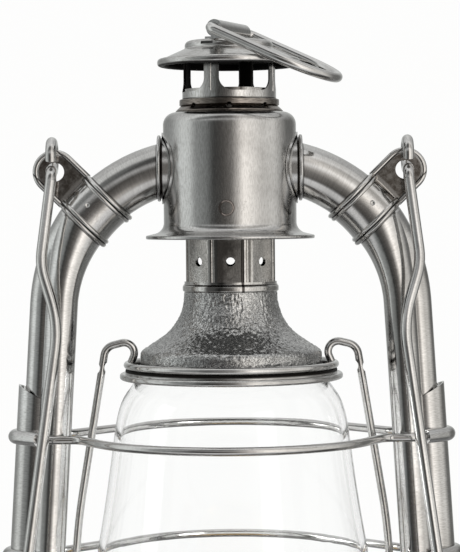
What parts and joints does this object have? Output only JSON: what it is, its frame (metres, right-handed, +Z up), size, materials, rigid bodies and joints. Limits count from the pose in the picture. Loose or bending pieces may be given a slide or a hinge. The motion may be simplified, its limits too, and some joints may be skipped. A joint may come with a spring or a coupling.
{
  "type": "hurricane lantern",
  "caption": "Cold-blast hurricane lantern with a round tank, two air tubes, a clear glass globe, wire guards, a ringed cap and a swinging wire bail.",
  "frame": {"origin": "centre of the tank's foot, on the surface that the lantern stands on", "axes": "+Z up the lantern's axis, +X to the right tube, with the lift lever, -Y to the front, where the bail hangs"},
  "size_m": [0.15, 0.123, 0.2649],
  "materials": {
    "zinc_steel": "bright zinc-coated sheet and wire, lightly worn",
    "dome_metal": "darker, fine hammered grain",
    "burner_brass": "satin",
    "globe_glass": "clear, blown",
    "wick_cotton": "flat woven cotton",
    "cork_gasket": "matt"
  },
  "bodies": {
    "frame": {"tank_bowl": "zinc_steel", "tank_top": "zinc_steel", "filler_neck": "zinc_steel", "air_chamber": "zinc_steel", "burner_base": "burner_brass", "burner_cone": "burner_brass", "wick_tube": "burner_brass", "air_tube_right": "zinc_steel", "air_tube_left": "zinc_steel", "hood": "zinc_steel", "vent_ring": "zinc_steel", "tube_collar_right": "zinc_steel", "tube_collar_left": "zinc_steel", "bail_clamp_right": "zinc_steel", "bail_clamp_left": "zinc_steel", "guard_wire_upper": "zinc_steel", "guard_wire_lower": "zinc_steel", "tube_sleeve_right": "zinc_steel", "tube_sleeve_left": "zinc_steel", "lever_post": "zinc_steel", "lever_pin": "zinc_steel"},
    "basket": {"gallery_plate": "zinc_steel", "globe": "globe_glass", "basket_wire": "zinc_steel", "top_plate": "zinc_steel"},
    "chimney": {"dome": "dome_metal", "neck": "zinc_steel", "crown": "zinc_steel", "cap": "zinc_steel", "ring_strap": "zinc_steel"},
    "lift_ring": {"lift_ring": "zinc_steel"},
    "bail": {"bail": "zinc_steel"},
    "lever": {"lift_lever": "zinc_steel"},
    "wick_winder": {"wick_spindle": "burner_brass", "wick_wheels": "burner_brass", "wick_knob": "burner_brass"},
    "wick": {"wick": "wick_cotton"},
    "gasket": {"filler_gasket": "cork_gasket"},
    "filler_cap": {"filler_cap": "zinc_steel"}
  },
  "joints": [
    {"name": "bail_swing", "type": "hinge", "parent": "frame", "child": "bail", "pos_m": [0, 0, 0.22191], "axis": [-1, 0, 0], "range_deg": [0, 255]},
    {"name": "lever_press", "type": "hinge", "parent": "frame", "child": "lever", "pos_m": [0.044, 0.014, 0.0618], "axis": [0, 1, 0], "range_deg": [0, 32.8]},
    {"name": "basket_lift", "type": "slide", "parent": "frame", "child": "basket", "axis": [0, 0, 1], "range_m": [0, 0.01]},
    {"name": "chimney_lift", "type": "slide", "parent": "basket", "child": "chimney", "axis": [0, 0, 1], "range_m": [0, 0.01]},
    {"name": "ring_swing", "type": "hinge", "parent": "chimney", "child": "lift_ring", "pos_m": [0, 0, 0.2622], "axis": [-0.4067, -0.9135, 0], "range_deg": [0, 225]},
    {"name": "wick_turn", "type": "hinge", "parent": "frame", "child": "wick_winder", "pos_m": [0.00213, 0.00368, 0.055], "axis": [-0.866, 0.5, 0], "range_deg": [-60, 90]},
    {"name": "wick_travel", "type": "slide", "parent": "frame", "child": "wick", "axis": [0, 0, 1], "range_m": [-0.0035, 0.0052]},
    {"name": "filler_rise", "type": "slide", "parent": "frame", "child": "gasket", "axis": [0, 0, 1], "range_m": [0, 0.0026]},
    {"name": "filler_turn", "type": "hinge", "parent": "gasket", "child": "filler_cap", "pos_m": [-0.031, -0.023, 0.042], "axis": [0, 0, 1], "range_deg": [0, 360]}
  ],
  "couplings": [
    {"joint": "lever_press", "follows": "basket_lift", "rad_per_m": 57.21},
    {"joint": "wick_travel", "follows": "wick_turn", "m_per_rad": 0.00325},
    {"joint": "filler_rise", "follows": "filler_turn", "m_per_rad": 0.00039789}
  ]
}
